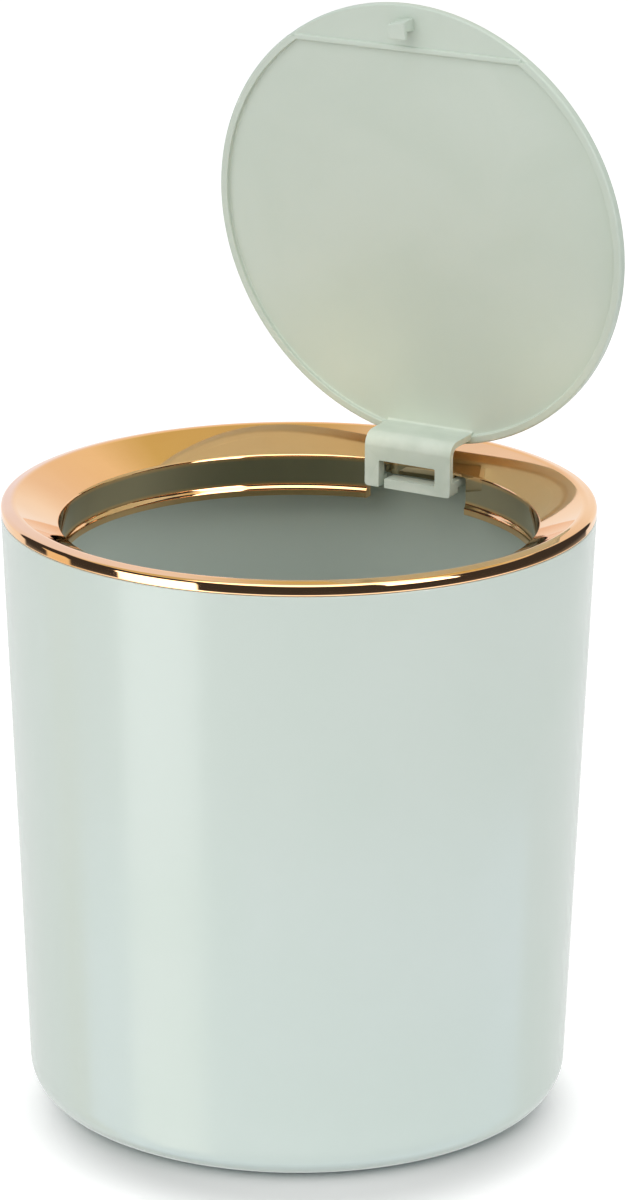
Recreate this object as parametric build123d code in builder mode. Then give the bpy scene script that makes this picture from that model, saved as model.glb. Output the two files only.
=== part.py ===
"""Small countertop bin: a drafted round body, a lift-off plated rim ring and a sprung pop-up lid.

Frame: +Z up, origin at the centre of the underside, hinge at +Y, latch at -Y.
The model stands with its lid open, resting on the hinge's stop.
"""
from build123d import *
from math import asin, atan2, cos, hypot, pi, radians, sin, tan
import os

# Bin body
rim_radius = 69.4            # outer radius of the bin's top edge
seat_height = 142.6          # height of the top edge, which carries the ring
wall = 2.2                   # side wall
draft = 2.25                 # degrees, the body narrows downwards
base_corner = 8.5            # outer radius where the side turns into the base
floor_thickness = 2.6
foot_recess = 1.0            # hollow under the base, inside the foot ring
foot_width = 9.0

# Rim ring
band_height = 2.6            # outer band, above the bin's edge
crest_inset = 2.8            # from the band inwards to the crest
crest_rise = 0.65            # crest above the top of the band
funnel_width = 13.5          # from the band inwards to the skirt's inner face
mouth_depth = 2.2            # mouth corner below the bin's edge
skirt_depth = 10.05          # from the mouth corner down to the end of the lip
lip_height = 2.5             # of which the lower part, lip_face, stands upright
lip_face = 1.7
lip_inset = 0.63
ring_wall = 1.6
spigot_depth = 5.2           # locating wall inside the bin
spigot_gap = 0.4
band_round = 1.1
band_foot_round = 0.5
crest_round = 2.5
mouth_round = 0.8
lip_round = 1.4

# Lid
lid_gap = 0.7                # running gap between lid and skirt
lid_thickness = 2.55         # at the edge
lid_inset = 0.15             # closed lid below the mouth corner
panel_recess = 1.1           # panel set back from the edge band, underneath
edge_band = 2.0
chord_inset = 10.8           # stiffening rib, from the lid's edge at the latch
chord_width = 1.5
segment_recess = 0.5         # underside between the rib and the latch, set back from the edge band
lid_round = 0.45
open_angle = 82.4            # from closed to the open stop

# Hinge
pivot_clear = 1.98           # from the arms' eyes to the bin's wall
pivot_below = 1.93           # axis below the mouth corner
pin_radius = 1.0
pin_short = 0.2              # pin ends inside the arms' outer faces
pin_chamfer = 0.2
pin_hold = 0.02              # radial clearance in the lugs
pin_play = 0.05              # radial clearance in the arms
eye_radius = 2.2
leaf_reach = 12.05           # leaf's front face to the axis
leaf_half = 11.9
leaf_end_round = 0.3
leaf_drop = 3.5              # leaf's lower end below the axis
leaf_fold = 9.75             # corner of the leaf's fold above the axis
neck_reach = 10.5            # where the leaf leaves the closed lid's panel, before the axis
neck_round = 0.6
fold_round = 3.5
arm_width = 2.0
arm_rise = 1.9               # arm's lower edge above the leaf's lower end
bar_depth = 4.0              # foot of the leaf, front to back
leg_depth = 2.6              # the leaf's left leg, front to back
side_play = 0.3              # between arm and lug
lug_width = 2.2
window_left = 8.0
window_right = 7.7
window_low = 1.1             # window's lower edge below the axis
window_high = 3.2
slit_width = 1.6             # between the left leg and the bar under the window
gap_play = 1.9               # hinge gap in the skirt, beside the leaf
tongue_half = 8.0            # apron of the ring behind the window
tongue_drop = 1.4            # apron's lower edge below the axis

# Hinge spring
spring_wire = 0.5
spring_play = 0.4            # between the coils and the pin
spring_turns = 8
spring_pitch = 0.9
leg_gap = 0.1                # between the front leg and the bar it pushes on

# Catch on the lid and push latch in the ring
catch_width = 4.6
catch_height = 4.2
catch_inset = 2.8            # front of the catch, from the lid's edge
catch_root = 3.5             # thickness of the stem at the lid
catch_neck = 2.7             # and above the claw
claw_reach = 4.6             # claw's end, from the front of the catch
claw_thickness = 1.2
catch_skew = 1.0             # how much further back the front is at its left end
latch_gap = 0.3              # below the closed catch
latch_half = 6.0
latch_wall = 1.4
latch_height = 17.0
latch_clear = 0.3            # housing to skirt and to spigot
cheek_width = 1.5
cheek_drop = 8.0
plunger_half = 3.0
plunger_play = 0.3
plunger_height = 4.8
toe_thickness = 2.0
toe_overlap = 1.8            # how far the toe runs under the catch
toe_guide = 1.0              # thickness of the toe's upright
guide_offset = 0.6           # from the closed catch to the toe's upright
guide_rise = 1.6
latch_coil_radius = 1.7
latch_wire = 0.4
latch_turns = 5

bore_over = 1.0              # how far cutters run past what they cut
near = 0.01                  # for finding an edge by its height


def body_radius(height):
    """Outer radius of the bin at a height."""
    return rim_radius - (seat_height - height) * tan(radians(draft))


# Bin body: a drafted cup with a foot ring
foot_radius = body_radius(base_corner) - base_corner
inner_corner = base_corner - wall
floor_top = foot_recess + floor_thickness

with BuildPart() as bin_body:
    with BuildSketch(Plane.XZ):
        with BuildLine():
            Polyline(
                (0, foot_recess),
                (foot_radius - foot_width, foot_recess),
                (foot_radius - foot_width, 0),
                (body_radius(0), 0),
                (rim_radius, seat_height),
                (rim_radius - wall, seat_height),
                (body_radius(floor_top) - wall, floor_top),
                (0, floor_top),
                close=True,
            )
        make_face()
    revolve(axis=Axis.Z)
    circles = bin_body.edges().filter_by(GeomType.CIRCLE)
    fillet(circles.group_by(Axis.Z)[0].sort_by(SortBy.RADIUS)[-1], base_corner)
    inner_base = [edge for edge in circles if abs(edge.center().Z - floor_top) < near]
    fillet(inner_base, inner_corner)

# Rim ring: outer band, crest, funnel, skirt, turned-in lip and locating spigot
band_top = seat_height + band_height
crest_radius = rim_radius - crest_inset
crest_height = band_top + crest_rise
mouth_radius = rim_radius - funnel_width
mouth_height = seat_height - mouth_depth
lip_low = mouth_height - skirt_depth
lip_radius = mouth_radius - lip_inset
skirt_outer = mouth_radius + ring_wall
spigot_outer = rim_radius - wall - spigot_gap
spigot_inner = spigot_outer - ring_wall
spigot_low = seat_height - spigot_depth
funnel_slope = (crest_height - mouth_height) / (crest_radius - mouth_radius)
funnel_drop = ring_wall * (1 + funnel_slope ** 2) ** 0.5


def funnel_under(radius):
    """Height of the funnel's underside at a radius."""
    return mouth_height + (radius - mouth_radius) * funnel_slope - funnel_drop


pivot_z = mouth_height - pivot_below
wall_at_pivot = body_radius(pivot_z) - wall
pivot_y = (wall_at_pivot ** 2 - leaf_half ** 2) ** 0.5 - eye_radius - pivot_clear
arm_inner = leaf_half - arm_width
lug_outer = arm_inner - side_play
lug_inner = lug_outer - lug_width
gap_half = leaf_half + gap_play
lug_sink = funnel_drop / 2

# Push latch, placed under the closed catch
lid_under = mouth_height - lid_inset - lid_thickness
catch_low = lid_under + segment_recess - catch_height
toe_top = catch_low - latch_gap
catch_front = mouth_radius - lid_gap - catch_inset
toe_reach = catch_front - toe_overlap
latch_back = -(skirt_outer + latch_clear)
latch_front = latch_clear - (spigot_inner ** 2 - latch_half ** 2) ** 0.5
latch_depth = latch_back - latch_front
pad_low = funnel_under(-latch_back) - latch_clear
latch_low = pad_low - latch_height
slot_half = plunger_half + plunger_play

with BuildPart() as rim_ring:
    with BuildSketch(Plane.XZ):
        with BuildLine():
            visible = FilletPolyline(
                (spigot_outer, seat_height),
                (rim_radius, seat_height),
                (rim_radius, band_top),
                (crest_radius, crest_height),
                (mouth_radius, mouth_height),
                (mouth_radius, lip_low + lip_height),
                (lip_radius, lip_low + lip_face),
                (lip_radius, lip_low),
                radius=[band_foot_round, band_round, crest_round, mouth_round, lip_round, lip_round],
            )
            Polyline(
                (lip_radius, lip_low),
                (skirt_outer, lip_low),
                (skirt_outer, funnel_under(skirt_outer)),
                (spigot_inner, funnel_under(spigot_inner)),
                (spigot_inner, spigot_low),
                (spigot_outer, spigot_low),
                (spigot_outer, seat_height),
            )
        make_face()
    revolve(axis=Axis.Z)
    # The hinge gap goes through lip, skirt and spigot, and leaves the apron between the arms
    gap_top = funnel_under(skirt_outer)
    with BuildSketch(Plane.XZ):
        with BuildLine():
            Polyline(
                (-gap_half, lip_low - bore_over),
                (-gap_half, gap_top),
                (-tongue_half, gap_top),
                (-tongue_half, pivot_z - tongue_drop),
                (tongue_half, pivot_z - tongue_drop),
                (tongue_half, gap_top),
                (gap_half, gap_top),
                (gap_half, lip_low - bore_over),
                close=True,
            )
        make_face()
    extrude(amount=-(skirt_outer + bore_over), mode=Mode.SUBTRACT)
    with BuildSketch(Plane.XZ.offset(-pivot_y)):
        with Locations((0, spigot_low - bore_over)):
            Rectangle(2 * gap_half, spigot_depth + bore_over, align=(Align.CENTER, Align.MIN))
    extrude(amount=-(rim_radius - pivot_y), mode=Mode.SUBTRACT)
    # Lugs that hold the pin
    with BuildSketch(Plane.YZ.offset(lug_inner)):
        with BuildLine():
            lug_back = (pivot_y + eye_radius, pivot_z)
            lug_foot = (pivot_y, pivot_z - eye_radius)
            Polyline(
                lug_foot,
                (mouth_radius, pivot_z - tongue_drop),
                (mouth_radius, funnel_under(mouth_radius) + lug_sink),
                (pivot_y + eye_radius, funnel_under(pivot_y + eye_radius) + lug_sink),
                lug_back,
            )
            RadiusArc(lug_back, lug_foot, eye_radius)
        make_face()
        with Locations((pivot_y, pivot_z)):
            Circle(pin_radius + pin_hold, mode=Mode.SUBTRACT)
    lug = extrude(amount=lug_width)
    mirror(lug, about=Plane.YZ)
    # Pad and two cheeks that hold the latch housing
    with BuildSketch(Plane.XY.offset(pad_low - cheek_drop)):
        for side in (-1, 1):
            with Locations((side * (latch_half + cheek_width / 2), (latch_front + latch_back) / 2)):
                Rectangle(cheek_width, latch_depth)
    extrude(amount=cheek_drop)
    with BuildSketch(Plane.YZ):
        with BuildLine():
            Polyline(
                (latch_back, pad_low),
                (latch_back, funnel_under(-latch_back) + lug_sink),
                (latch_front, funnel_under(-latch_front) + lug_sink),
                (latch_front, pad_low),
                close=True,
            )
        make_face()
    extrude(amount=latch_half + cheek_width, both=True)
    # Slot in the skirt for the latch's toe
    with BuildSketch(Plane.XZ.offset(lip_radius - bore_over)):
        with Locations((0, lip_low - bore_over)):
            slot_rise = toe_top + guide_rise + latch_clear - lip_low + bore_over
            Rectangle(2 * slot_half, slot_rise, align=(Align.CENTER, Align.MIN))
    extrude(amount=skirt_outer + latch_clear - lip_radius + bore_over, mode=Mode.SUBTRACT)

# Lid, drawn about its own centre on a plane tilted to the open stop
turn = radians(open_angle)
lid_radius = mouth_radius - lid_gap
leaf_thickness = lid_thickness - panel_recess
closed_rise = lid_under - pivot_z
open_y = pivot_y - pivot_y * cos(turn) + closed_rise * sin(turn)
open_z = pivot_z + pivot_y * sin(turn) + closed_rise * cos(turn)
lid_plane = Plane(origin=(0, open_y, open_z), x_dir=(1, 0, 0), z_dir=(0, sin(turn), cos(turn)))
side_plane = Plane(origin=(0, open_y, open_z), x_dir=(0, cos(turn), -sin(turn)), z_dir=(1, 0, 0))


def opened(along, rise):
    """World (y, z) of a point on the lid: along from its centre to the hinge, rise from its underside."""
    return (
        open_y + along * cos(turn) + rise * sin(turn),
        open_z - along * sin(turn) + rise * cos(turn),
    )


leaf_front = pivot_y - leaf_reach
leaf_low = pivot_z - leaf_drop
leaf_back = leaf_front + leaf_thickness
window_foot = pivot_z - window_low
window_head = pivot_z + window_high
neck_root = pivot_y - neck_reach
panel_middle = (lid_thickness + panel_recess) / 2
root_up = opened(neck_root - 2 * neck_round, panel_recess)
root_top = opened(neck_root - 2 * neck_round, panel_middle)
root_y, root_z = opened(neck_root, panel_recess)
fold_z = pivot_z + leaf_fold
fold_slope = (root_z - fold_z) / (root_y - leaf_front)
fold_under = leaf_thickness * hypot(1, fold_slope)


def leaf_under(depth):
    """Height of the underside of the leaf's upper part at a depth."""
    return fold_z + (depth - leaf_front) * fold_slope - fold_under


with BuildPart() as lid:
    with BuildSketch(lid_plane):
        Circle(lid_radius)
    extrude(amount=lid_thickness)
    with BuildSketch(lid_plane):
        with Locations((0, -lid_radius)):
            Rectangle(2 * lid_radius, 2 * chord_inset - chord_width)
    extrude(amount=segment_recess, mode=Mode.SUBTRACT)
    rim_edges = lid.edges().filter_by(GeomType.CIRCLE)
    fillet(rim_edges, lid_round)
    with BuildSketch(lid_plane):
        Circle(lid_radius - edge_band)
        with Locations((0, -lid_radius)):
            Rectangle(2 * lid_radius, 2 * chord_inset + chord_width, mode=Mode.SUBTRACT)
    extrude(amount=panel_recess, mode=Mode.SUBTRACT)
    # Leaf: leaves the panel, folds and hangs down to the arms
    with BuildSketch(Plane.YZ):
        with BuildLine():
            FilletPolyline(
                root_up,
                (root_y, root_z),
                (leaf_front, fold_z),
                (leaf_front, leaf_low),
                radius=[neck_round, fold_round],
            )
            FilletPolyline(
                (leaf_front, leaf_low),
                (leaf_back, leaf_low),
                (leaf_back, leaf_under(leaf_back)),
                (root_top[0], leaf_under(root_top[0])),
                radius=[leaf_end_round, fold_round - leaf_thickness],
            )
            Polyline((root_top[0], leaf_under(root_top[0])), root_top, root_up)
        make_face()
    extrude(amount=leaf_half, both=True)
    # Foot along the leaf's lower end, and a deeper left leg
    with BuildSketch(Plane.XY.offset(leaf_low)):
        with Locations((0, leaf_front)):
            Rectangle(2 * leaf_half, bar_depth, align=(Align.CENTER, Align.MIN))
    extrude(amount=window_foot - leaf_low)
    with BuildSketch(Plane.XY.offset(leaf_low)):
        with Locations((-leaf_half, leaf_front)):
            Rectangle(leaf_half - window_left, leg_depth, align=Align.MIN)
    extrude(amount=window_head - leaf_low)
    # Arms with their eyes
    with BuildSketch(Plane.YZ.offset(arm_inner)):
        with BuildLine():
            Polyline(
                (leaf_front + bar_depth, leaf_low + arm_rise),
                (leaf_back, leaf_low + arm_rise),
                (leaf_back, pivot_z),
                (pivot_y, pivot_z),
                (pivot_y, pivot_z - eye_radius),
                (leaf_front + bar_depth, leaf_low + arm_rise),
            )
        make_face()
        with Locations((pivot_y, pivot_z)):
            Circle(eye_radius)
            Circle(pin_radius + pin_play, mode=Mode.SUBTRACT)
    arm = extrude(amount=arm_width)
    mirror(arm, about=Plane.YZ)
    # Catch: a tapered stem with a claw towards the lid's centre, its front skewed
    catch_tip = segment_recess - catch_height
    with BuildSketch(side_plane.offset(-catch_width / 2)):
        with BuildLine():
            Polyline(
                (-catch_front, segment_recess),
                (-catch_front, catch_tip),
                (-catch_front + claw_reach, catch_tip),
                (-catch_front + claw_reach, catch_tip + claw_thickness),
                (-catch_front + catch_neck, catch_tip + claw_thickness),
                (-catch_front + catch_root, segment_recess),
                close=True,
            )
        make_face()
    extrude(amount=catch_width)
    with BuildSketch(lid_plane.offset(segment_recess)):
        with BuildLine():
            Polyline(
                (catch_width / 2, -catch_front),
                (-catch_width / 2, -catch_front),
                (-catch_width / 2, -catch_front + catch_skew),
                close=True,
            )
        make_face()
    extrude(amount=-catch_height, mode=Mode.SUBTRACT)
    # Window through the leaf, with a slit beside the bar under it
    with BuildSketch(Plane.XZ.offset(-leaf_front + bore_over)):
        with BuildLine():
            Polyline(
                (-window_left, leaf_low - bore_over),
                (-window_left, window_head),
                (window_right, window_head),
                (window_right, window_foot),
                (slit_width - window_left, window_foot),
                (slit_width - window_left, leaf_low - bore_over),
                close=True,
            )
        make_face()
    extrude(amount=-(bar_depth + 2 * bore_over), mode=Mode.SUBTRACT)


# Hinge pin, held in the lugs and free in the arms
with BuildPart() as hinge_pin:
    with BuildSketch(Plane.YZ.offset(pin_short - leaf_half)):
        with Locations((pivot_y, pivot_z)):
            Circle(pin_radius)
    extrude(amount=2 * (leaf_half - pin_short))
    chamfer(hinge_pin.edges().filter_by(GeomType.CIRCLE), pin_chamfer)

# Torsion spring round the pin: one leg bears on the leaf, the other on the funnel's underside
coil_radius = pin_radius + spring_play + spring_wire / 2
leg_run = pivot_y - leaf_front - bar_depth
leg_fall = pivot_z - leaf_low + spring_wire / 2 + leg_gap
leg_tilt = atan2(leg_fall, leg_run) - asin(coil_radius / hypot(leg_fall, leg_run))
leg_length = (leg_run ** 2 + leg_fall ** 2 - coil_radius ** 2) ** 0.5 + leaf_thickness / 2
quarter_turn = 0.25
coil_length = (spring_turns + quarter_turn - leg_tilt / (2 * pi)) * spring_pitch
rear_leg = funnel_under(pivot_y + coil_radius) - pivot_z - spring_wire / 2

with BuildPart() as torsion_spring:
    with BuildLine():
        upright_coil = Helix(
            pitch=spring_pitch,
            height=coil_length,
            radius=coil_radius,
            center=(-coil_length / 2, pivot_y, pivot_z),
            direction=(1, 0, 0),
            lefthand=True,
            mode=Mode.PRIVATE,
        )
        coil = upright_coil.rotate(Axis((0, pivot_y, pivot_z), (1, 0, 0)), -90)
        add(coil)
    with BuildSketch(Plane(origin=coil @ 0, z_dir=coil % 0)):
        Circle(spring_wire / 2)
    sweep(is_frenet=True)
    with BuildSketch(Plane(origin=coil @ 0, z_dir=(0, 0, 1))):
        Circle(spring_wire / 2)
    extrude(amount=rear_leg)
    with BuildSketch(Plane(origin=coil @ 1, z_dir=(0, -cos(leg_tilt), -sin(leg_tilt)))):
        Circle(spring_wire / 2)
    extrude(amount=leg_length)

# Latch housing, snapped between the ring's cheeks
with BuildPart() as latch_housing:
    with BuildSketch(Plane.XY.offset(latch_low)):
        with Locations((0, (latch_front + latch_back) / 2)):
            Rectangle(2 * latch_half, latch_depth)
    extrude(amount=latch_height)
    with BuildSketch(Plane.XY.offset(latch_low + latch_wall)):
        with Locations((0, latch_back)):
            Rectangle(2 * slot_half, 2 * (latch_depth - latch_wall))
    extrude(amount=latch_height - 2 * latch_wall, mode=Mode.SUBTRACT)

# Latch plunger: a slide with a toe that reaches through the skirt under the catch
plunger_back = latch_front + latch_wall + plunger_play
with BuildPart() as latch_plunger:
    with BuildSketch(Plane.YZ):
        with BuildLine():
            guide_front = -(catch_front + guide_offset)
            Polyline(
                (plunger_back, toe_top - plunger_height),
                (latch_back, toe_top - plunger_height),
                (latch_back, toe_top - toe_thickness),
                (-toe_reach, toe_top - toe_thickness),
                (-toe_reach, toe_top),
                (guide_front, toe_top),
                (guide_front, toe_top + guide_rise),
                (guide_front - toe_guide, toe_top + guide_rise),
                (guide_front - toe_guide, toe_top),
                (plunger_back, toe_top),
                close=True,
            )
        make_face()
    extrude(amount=plunger_half, both=True)

# Latch spring, between the housing's floor and the plunger
latch_spring_low = latch_low + latch_wall
latch_spring_height = toe_top - plunger_height - latch_spring_low
with BuildPart() as latch_spring:
    with BuildLine():
        latch_coil = Helix(
            pitch=(latch_spring_height - latch_wire) / latch_turns,
            height=latch_spring_height - latch_wire,
            radius=latch_coil_radius,
            center=(0, (plunger_back + latch_back) / 2, latch_spring_low + latch_wire / 2),
        )
    with BuildSketch(Plane(origin=latch_coil @ 0, z_dir=latch_coil % 0)):
        Circle(latch_wire / 2)
    sweep(is_frenet=True)

os.makedirs("parts", exist_ok=True)
bin_body.part.label = "bin_body"
export_step(bin_body.part, "parts/bin_body.step")
rim_ring.part.label = "rim_ring"
export_step(rim_ring.part, "parts/rim_ring.step")
lid.part.label = "lid"
export_step(lid.part, "parts/lid.step")
hinge_pin.part.label = "hinge_pin"
export_step(hinge_pin.part, "parts/hinge_pin.step")
torsion_spring.part.label = "torsion_spring"
export_step(torsion_spring.part, "parts/torsion_spring.step")
latch_housing.part.label = "latch_housing"
export_step(latch_housing.part, "parts/latch_housing.step")
latch_plunger.part.label = "latch_plunger"
export_step(latch_plunger.part, "parts/latch_plunger.step")
latch_spring.part.label = "latch_spring"
export_step(latch_spring.part, "parts/latch_spring.step")
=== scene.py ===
import bpy
import math
from mathutils import Matrix, Vector


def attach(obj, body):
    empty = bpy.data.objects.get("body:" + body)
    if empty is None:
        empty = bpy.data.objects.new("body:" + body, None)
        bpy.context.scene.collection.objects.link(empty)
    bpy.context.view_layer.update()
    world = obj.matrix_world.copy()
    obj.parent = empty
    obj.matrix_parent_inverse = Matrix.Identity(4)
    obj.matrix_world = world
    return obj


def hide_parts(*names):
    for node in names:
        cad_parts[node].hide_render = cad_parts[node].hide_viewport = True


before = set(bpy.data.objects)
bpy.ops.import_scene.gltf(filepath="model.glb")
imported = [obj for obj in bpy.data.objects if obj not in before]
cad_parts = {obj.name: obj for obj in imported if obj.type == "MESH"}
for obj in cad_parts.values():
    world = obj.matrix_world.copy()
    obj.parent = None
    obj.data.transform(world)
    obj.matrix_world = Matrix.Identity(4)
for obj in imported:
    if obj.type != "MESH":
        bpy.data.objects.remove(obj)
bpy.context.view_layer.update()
scene = bpy.context.scene
mm = 0.001


# small modelling helpers

def deselectAll():
    for other in list(bpy.context.selected_objects):
        other.select_set(False)


def pick(piece):
    deselectAll()
    piece.select_set(True)
    bpy.context.view_layer.objects.active = piece


def editMode(piece, mode="VERT"):
    pick(piece)
    bpy.ops.object.mode_set(mode="EDIT")
    bpy.ops.mesh.select_mode(type=mode)


def leaveEdit():
    bpy.ops.object.mode_set(mode="OBJECT")


def settle(piece):
    # place, turn and size go into the mesh
    pick(piece)
    bpy.ops.object.transform_apply(location=True, rotation=True, scale=True)


def roundedCorners(corners, steps=7):
    # corners are (across, up) or (across, up, radius), in mm; returns metres
    points = []
    count = len(corners)
    for number, corner in enumerate(corners):
        here = Vector(corner[:2])
        radius = corner[2] if len(corner) > 2 else 0
        if radius == 0:
            points.append(here * mm)
            continue
        before = (Vector(corners[number - 1][:2]) - here).normalized()
        after = (Vector(corners[(number + 1) % count][:2]) - here).normalized()
        half = before.angle(after) / 2
        reach = radius / math.tan(half)
        middle = here + (before + after).normalized() * (radius / math.sin(half))
        first = here + before * reach - middle
        last = here + after * reach - middle
        sweep = first.angle_signed(last)
        for step in range(steps + 1):
            share = -sweep * step / steps
            turned = Vector((
                first.x * math.cos(share) - first.y * math.sin(share),
                first.x * math.sin(share) + first.y * math.cos(share),
            ))
            points.append((middle + turned) * mm)
    return points


def drawPath(name, points):
    # one vertex, extruded from point to point, leaves an open outline
    bpy.ops.mesh.primitive_plane_add(size=mm, location=points[0])
    piece = bpy.context.active_object
    piece.name = name
    settle(piece)
    editMode(piece)
    bpy.ops.mesh.select_all(action="SELECT")
    bpy.ops.mesh.merge(type="CENTER")
    for start, end in zip(points, points[1:]):
        bpy.ops.mesh.extrude_vertices_move(TRANSFORM_OT_translate={"value": end - start})
    return piece


def lathe(name, outline, turns):
    # outline is a closed loop of (radius, height) in metres, spun round the Z axis
    deselectAll()
    path = [Vector((across, 0, up)) for across, up in outline]
    path.append(path[0])
    piece = drawPath(name, path)
    bpy.ops.mesh.select_all(action="SELECT")
    bpy.ops.mesh.spin(steps=turns, angle=2 * math.pi, center=(0, 0, 0), axis=(0, 0, 1))
    bpy.ops.mesh.select_all(action="SELECT")
    bpy.ops.mesh.remove_doubles(threshold=0.002 * mm)
    bpy.ops.mesh.normals_make_consistent(inside=False)
    leaveEdit()
    return piece


def extrudeOutline(name, outline, axis, low, high):
    # outline is a closed loop in the plane across the axis, "X", "Y" or "Z"
    deselectAll()
    places = {
        "X": lambda a, b: Vector((low * mm, a, b)),
        "Y": lambda a, b: Vector((a, low * mm, b)),
        "Z": lambda a, b: Vector((a, b, low * mm)),
    }
    along = {"X": Vector((1, 0, 0)), "Y": Vector((0, 1, 0)), "Z": Vector((0, 0, 1))}[axis]
    path = [places[axis](a, b) for a, b in outline]
    piece = drawPath(name, path)
    bpy.ops.mesh.select_all(action="SELECT")
    bpy.ops.mesh.edge_face_add()
    bpy.ops.mesh.extrude_region_move(TRANSFORM_OT_translate={"value": along * (high - low) * mm})
    bpy.ops.mesh.select_all(action="SELECT")
    bpy.ops.mesh.normals_make_consistent(inside=False)
    leaveEdit()
    return piece


def softenEdges(piece, width, steps=2, angle=35):
    # rounds the sharp edges of a finished shape
    pick(piece)
    bpy.ops.object.modifier_add(type="BEVEL")
    bevel = piece.modifiers[-1]
    bevel.width = width * mm
    bevel.segments = steps
    bevel.limit_method = "ANGLE"
    bevel.angle_limit = math.radians(angle)
    bevel.miter_outer = "MITER_ARC"
    bpy.ops.object.modifier_apply(modifier=bevel.name)


def combine(piece, other, operation):
    pick(piece)
    bpy.ops.object.modifier_add(type="BOOLEAN")
    cut = piece.modifiers[-1]
    cut.operation = operation
    cut.solver = "EXACT"
    cut.object = other
    bpy.ops.object.modifier_apply(modifier=cut.name)
    bpy.data.objects.remove(other, do_unlink=True)


def smooth(piece, angle=32):
    pick(piece)
    bpy.ops.object.shade_smooth_by_angle(angle=math.radians(angle))
    # large flat faces keep their own normal
    weigh = piece.modifiers.new("evenNormals", "WEIGHTED_NORMAL")
    weigh.keep_sharp = True
    bpy.ops.object.modifier_apply(modifier=weigh.name)


def block(name, low, high, soft=0.0, steps=2):
    # a box between two corners in mm
    deselectAll()
    low, high = Vector(low), Vector(high)
    bpy.ops.mesh.primitive_cube_add(size=1, location=(low + high) / 2 * mm, scale=(high - low) * mm)
    piece = bpy.context.active_object
    piece.name = name
    settle(piece)
    if soft:
        softenEdges(piece, soft, steps)
    return piece


# bin body

binBody = {
    "rimRadius": 69.4,
    "height": 142.6,
    "wall": 2.2,
    "draft": 2.25,
    "baseCorner": 8.5,
    "footRecess": 1.0,
    "footWidth": 9.0,
    "footRound": 0.4,
    "recessRound": 0.3,
    "rimRoundOut": 0.25,
    "rimRoundIn": 0.4,
    "floorTop": 3.6,
    "turns": 288,
}


def bodyRadius(height):
    return binBody["rimRadius"] - (binBody["height"] - height) * math.tan(math.radians(binBody["draft"]))


def makeBody():
    size = binBody
    rim, wall, corner, floorTop = size["rimRadius"], size["wall"], size["baseCorner"], size["floorTop"]
    footInner = bodyRadius(corner) - corner - size["footWidth"]
    outline = roundedCorners([
        (0, size["footRecess"]),
        (footInner, size["footRecess"], size["recessRound"]),
        (footInner, 0, size["footRound"]),
        (bodyRadius(0), 0, corner),
        (rim, size["height"], size["rimRoundOut"]),
        (rim - wall, size["height"], size["rimRoundIn"]),
        (bodyRadius(floorTop) - wall, floorTop, corner - wall),
        (0, floorTop),
    ], 14)
    return lathe("binShell", outline, size["turns"])


binShell = makeBody()
smooth(binShell)
print("body done")


# plated rim ring

ringSize = {
    "bandHeight": 2.6,
    "bandRound": 1.1,
    "bandFoot": 0.5,
    "crestInset": 2.8,
    "crestRise": 0.65,
    "crestRound": 2.5,
    "funnelWidth": 13.5,
    "mouthDepth": 2.2,
    "mouthRound": 0.8,
    "skirtDepth": 10.05,
    "lipHeight": 2.5,
    "lipFace": 1.7,
    "lipInset": 0.63,
    "lipRound": 1.4,
    "wall": 1.6,
    "spigotDepth": 5.2,
    "spigotGap": 0.4,
    "endRound": 0.2,
    "innerRound": 0.3,
    "gapHalf": 13.8,
    "gapFrom": 40,
    "apronHalf": 8.0,
    "apronDrop": 1.4,
    "lugInner": 7.4,
    "lugOuter": 9.6,
    "lugSoft": 0.15,
    "slotHalf": 3.3,
    "slotTop": 136.2,
    "slotFront": 58.2,
    "slotBack": 50,
    "padFront": 64.32,
    "padBack": 57.8,
    "padLow": 139.57,
    "padHalf": 7.5,
    "cheekInner": 6.0,
    "cheekLow": 131.57,
    "cheekTop": 139.9,
    "cheekSoft": 0.2,
    "sunk": 0.9,  # how far pad and lugs run up into the funnel's wall
    "turns": 384,
}
hinge = {
    "y": 61.8,
    "z": 138.47,
    "eyeRadius": 2.2,
    "pinHole": 1.05,
    "lugHole": 1.02,
    "lugBore": 12,  # half the length of each bore's cutter
    "armBore": 14,
}
rim = binBody["rimRadius"]
seat = binBody["height"]
mouthRadius = rim - ringSize["funnelWidth"]
mouthZ = seat - ringSize["mouthDepth"]
crestRadius = rim - ringSize["crestInset"]
crestZ = seat + ringSize["bandHeight"] + ringSize["crestRise"]
skirtOuter = mouthRadius + ringSize["wall"]
lipLow = mouthZ - ringSize["skirtDepth"]
lipRadius = mouthRadius - ringSize["lipInset"]
funnelSlope = (crestZ - mouthZ) / (crestRadius - mouthRadius)
funnelDrop = ringSize["wall"] * math.hypot(1, funnelSlope)


def funnelUnder(radius):
    return mouthZ + (radius - mouthRadius) * funnelSlope - funnelDrop


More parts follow.
